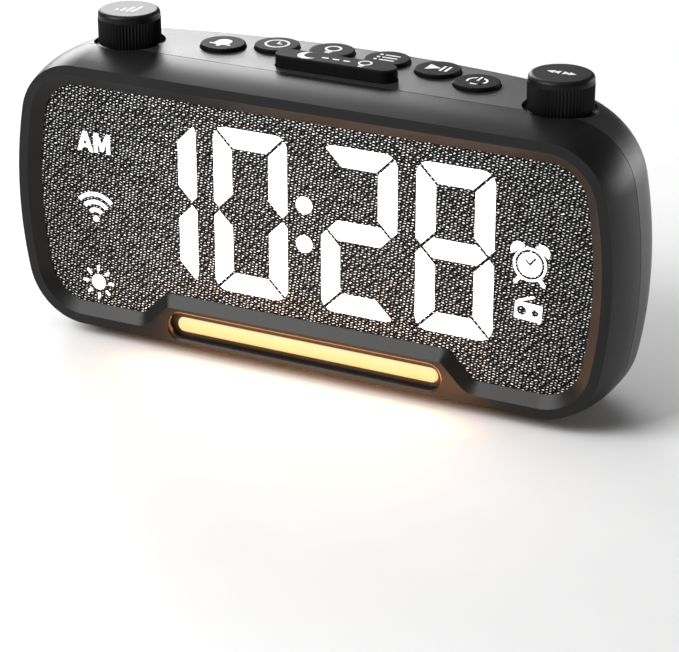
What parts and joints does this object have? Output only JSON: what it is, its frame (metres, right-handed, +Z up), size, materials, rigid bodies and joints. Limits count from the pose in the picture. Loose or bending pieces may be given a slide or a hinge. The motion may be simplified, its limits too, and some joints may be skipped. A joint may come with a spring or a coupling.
{
  "type": "clock radio",
  "caption": "Mains-powered bedside clock radio with a cloth front that the lit time shines through, a warm light bar, ribbed push-and-turn knobs, round keys and a long snooze bar on top.",
  "frame": {"origin": "on the surface the clock stands on, under the middle of its case", "axes": "+Z up; -Y out of the clock's face; +X to the right of someone facing it"},
  "size_m": [0.1952, 0.0505, 0.0978],
  "materials": {
    "bezel_plastic": "satin black moulding",
    "housing_plastic": "fine-grained black moulding",
    "grille_fabric": "dark woven cloth with pale flecks",
    "mask_plastic": "black, printed",
    "diffuser_plastic": "milky, lit from behind",
    "white_plastic": "white reflector moulding",
    "circuit_board": "green solder mask",
    "white_board": "white solder mask",
    "led_package": "LED package",
    "lens_plastic": "frosted, lit warm yellow",
    "control_plastic": "satin black keys",
    "knob_plastic": "black, ribbed",
    "switch_plastic": "black switch bodies",
    "plated_steel": "plated",
    "screw_steel": "black zinc",
    "brass_alloy": "turned",
    "chip_black": "moulded package",
    "foam_rubber": "soft black",
    "magnet_iron": "painted black",
    "paper_cone": "pressed paper",
    "ribbon_film": "flat cable"
  },
  "bodies": {
    "case": {"backup_cell": "plated_steel", "battery_contacts": "plated_steel", "battery_holder": "switch_plastic", "capacitors": "chip_black", "case_screws": "screw_steel", "control_board": "circuit_board", "control_ribbon": "ribbon_film", "control_screws": "plated_steel", "display_board": "circuit_board", "display_leds": "led_package", "display_reflector": "white_plastic", "display_ribbon": "ribbon_film", "display_screws": "plated_steel", "feet": "foam_rubber", "front_bezel": "bezel_plastic", "grille_cloth": "grille_fabric", "grille_plate": "mask_plastic", "left_encoder": "plated_steel", "light_bar_board": "white_board", "light_bar_leds": "led_package", "light_bar_lens": "lens_plastic", "main_board": "circuit_board", "main_board_screws": "plated_steel", "main_housing": "housing_plastic", "radio_chip": "chip_black", "right_encoder": "plated_steel", "segment_diffusers": "diffuser_plastic", "speaker_frame": "magnet_iron", "speaker_gasket": "foam_rubber", "speaker_magnet": "magnet_iron", "speaker_screws": "plated_steel", "tact_switches": "switch_plastic", "usb_charge_socket": "plated_steel", "usb_power_socket": "plated_steel"},
    "alarm_key": {"alarm_button": "control_plastic", "alarm_plunger": "white_plastic"},
    "clock_key": {"clock_button": "control_plastic", "clock_plunger": "white_plastic"},
    "light_key": {"light_button": "control_plastic", "light_plunger": "white_plastic"},
    "preset_key": {"preset_button": "control_plastic", "preset_plunger": "white_plastic"},
    "play_key": {"play_button": "control_plastic", "play_plunger": "white_plastic"},
    "power_key": {"power_button": "control_plastic", "power_plunger": "white_plastic"},
    "snooze_key": {"snooze_bar": "control_plastic", "snooze_plunger": "white_plastic"},
    "left_rotor": {"left_encoder_rotor": "white_plastic"},
    "left_dial": {"left_knob": "knob_plastic", "left_shaft": "brass_alloy"},
    "right_rotor": {"right_encoder_rotor": "white_plastic"},
    "right_dial": {"right_knob": "knob_plastic", "right_shaft": "brass_alloy"},
    "cone": {"speaker_cone": "paper_cone", "voice_coil": "brass_alloy", "dust_cap": "paper_cone", "speaker_surround": "foam_rubber"},
    "hatch": {"battery_door": "housing_plastic", "battery_door_screw": "screw_steel"}
  },
  "joints": [
    {"name": "alarm_press", "type": "slide", "parent": "case", "child": "alarm_key", "axis": [0, 0, -1], "range_m": [0, 0.0006], "stiffness_N_per_m": 2500, "springref_m": -0.0002},
    {"name": "clock_press", "type": "slide", "parent": "case", "child": "clock_key", "axis": [0, 0, -1], "range_m": [0, 0.0006], "stiffness_N_per_m": 2500, "springref_m": -0.0002},
    {"name": "light_press", "type": "slide", "parent": "case", "child": "light_key", "axis": [0, 0, -1], "range_m": [0, 0.0006], "stiffness_N_per_m": 2500, "springref_m": -0.0002},
    {"name": "preset_press", "type": "slide", "parent": "case", "child": "preset_key", "axis": [0, 0, -1], "range_m": [0, 0.0006], "stiffness_N_per_m": 2500, "springref_m": -0.0002},
    {"name": "play_press", "type": "slide", "parent": "case", "child": "play_key", "axis": [0, 0, -1], "range_m": [0, 0.0006], "stiffness_N_per_m": 2500, "springref_m": -0.0002},
    {"name": "power_press", "type": "slide", "parent": "case", "child": "power_key", "axis": [0, 0, -1], "range_m": [0, 0.0006], "stiffness_N_per_m": 2500, "springref_m": -0.0002},
    {"name": "snooze_press", "type": "slide", "parent": "case", "child": "snooze_key", "axis": [0, 0, -1], "range_m": [0, 0.0006], "stiffness_N_per_m": 2500, "springref_m": -0.0002},
    {"name": "left_knob_turn", "type": "hinge", "parent": "case", "child": "left_rotor", "pos_m": [-0.0691, -0.0016, 0.078], "axis": [0, 0, 1], "continuous": true},
    {"name": "left_knob_push", "type": "slide", "parent": "left_rotor", "child": "left_dial", "axis": [0, 0, -1], "range_m": [0, 0.0005], "stiffness_N_per_m": 4000, "springref_m": -0.0002},
    {"name": "right_knob_turn", "type": "hinge", "parent": "case", "child": "right_rotor", "pos_m": [0.0691, -0.0016, 0.078], "axis": [0, 0, 1], "continuous": true},
    {"name": "right_knob_push", "type": "slide", "parent": "right_rotor", "child": "right_dial", "axis": [0, 0, -1], "range_m": [0, 0.0005], "stiffness_N_per_m": 4000, "springref_m": -0.0002},
    {"name": "cone_travel", "type": "slide", "parent": "case", "child": "cone", "axis": [0, 1, 0], "range_m": [-0.001, 0.001], "stiffness_N_per_m": 1200, "deforming": ["speaker_surround"]},
    {"name": "battery_door_lift", "type": "slide", "parent": "case", "child": "hatch", "axis": [0, 1, 0], "range_m": [0, 0.02]}
  ]
}
